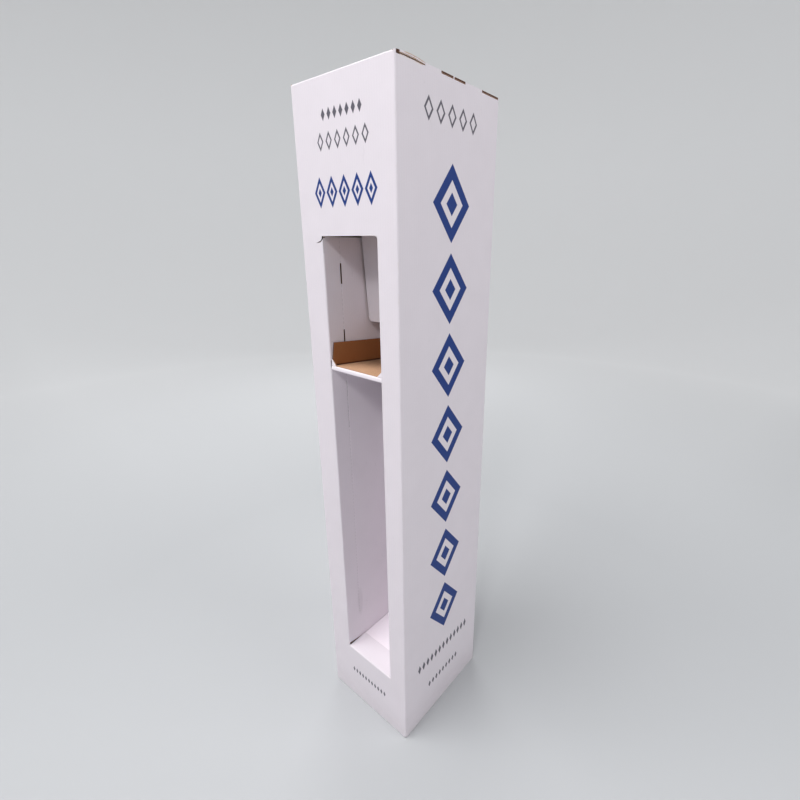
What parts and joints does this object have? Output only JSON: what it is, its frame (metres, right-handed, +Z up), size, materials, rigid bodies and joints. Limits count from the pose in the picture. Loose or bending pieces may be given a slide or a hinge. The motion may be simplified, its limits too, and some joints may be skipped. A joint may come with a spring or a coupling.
{
  "type": "cardboard display stand",
  "caption": "Tall folded cardboard floor stand with a window in the front wall, a hung tray inside and a hanging panel behind the top of the window.",
  "frame": {"origin": "middle of the column's footprint, on the ground", "axes": "+Z up along the column, -Y out of the window, +X to the right as seen from the window side"},
  "size_m": [0.292, 0.328, 1.6025],
  "materials": {
    "column_board": "matte",
    "liner_board": "matte",
    "plinth_board": "matte",
    "tray_board": "matte",
    "hanging_board": "matte"
  },
  "bodies": {
    "root": {"column_sleeve": "column_board", "inner_liner": "liner_board", "plinth_box": "plinth_board", "shelf_tray": "tray_board", "hanging_panel": "hanging_board"}
  },
  "joints": []
}
